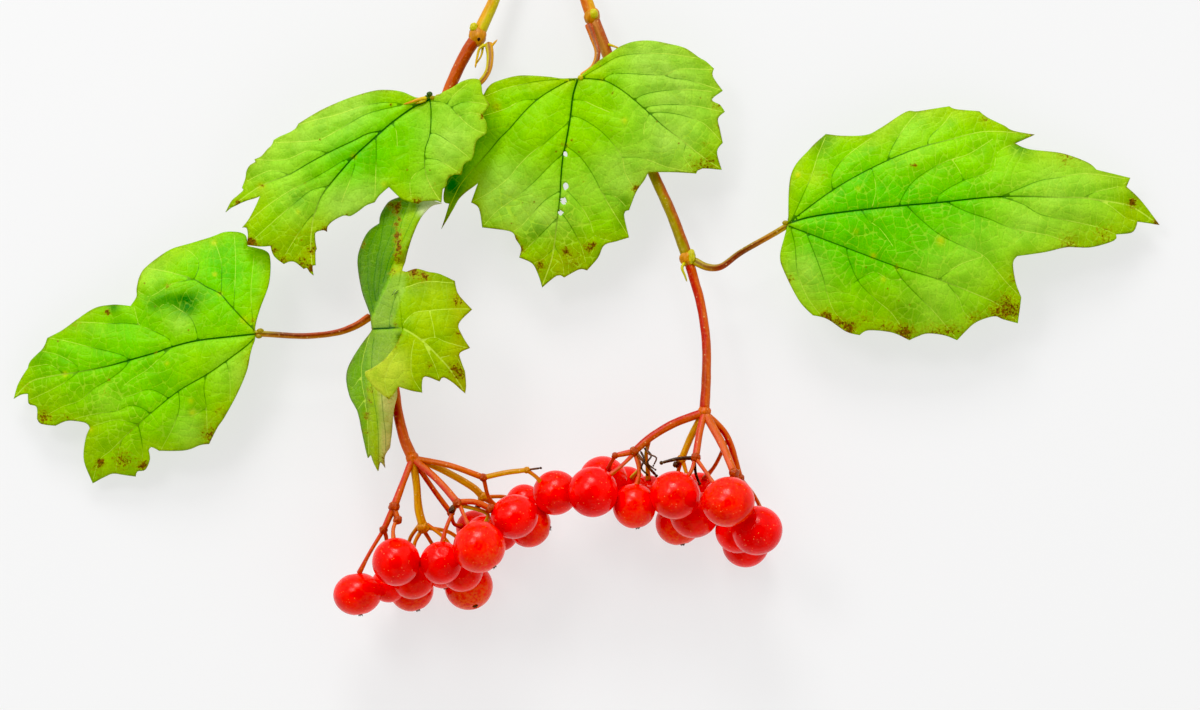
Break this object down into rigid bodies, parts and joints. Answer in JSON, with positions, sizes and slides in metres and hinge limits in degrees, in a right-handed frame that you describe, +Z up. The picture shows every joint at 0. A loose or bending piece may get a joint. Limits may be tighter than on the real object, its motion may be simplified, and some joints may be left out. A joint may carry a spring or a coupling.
{
  "type": "viburnum branch",
  "caption": "Cut viburnum branch lying on a surface: green shoots from a short woody stem, lobed toothed leaves and bunches of round red berries.",
  "frame": {"origin": "middle of the branch's footprint, on the surface it lies on", "axes": "+Z up from the surface, +Y along the branch towards the cut end of the woody stem, +X towards the single leaf that stands out to the right"},
  "size_m": [0.2308, 0.1621, 0.0322],
  "materials": {
    "bark": "matte bark, pale at the cut end",
    "green_shoot": "smooth yellow-green skin flushed with red",
    "leaf_stalk": "smooth, yellow and dark red",
    "leaf_blade": "satin green with sunk veins, yellow-green edges and brown spots",
    "fruit": "glossy red skin"
  },
  "bodies": {
    "root": {"woody_stem": "bark", "shoot_left": "green_shoot", "shoot_right": "green_shoot", "petiole_far_left": "leaf_stalk", "petiole_upper_left": "leaf_stalk", "petiole_middle": "leaf_stalk", "petiole_folded": "leaf_stalk", "petiole_right": "leaf_stalk", "leaf_far_left": "leaf_blade", "leaf_upper_left": "leaf_blade", "leaf_middle": "leaf_blade", "leaf_folded": "leaf_blade", "leaf_right": "leaf_blade", "bunch_left": "fruit", "bunch_right": "fruit"}
  },
  "joints": []
}
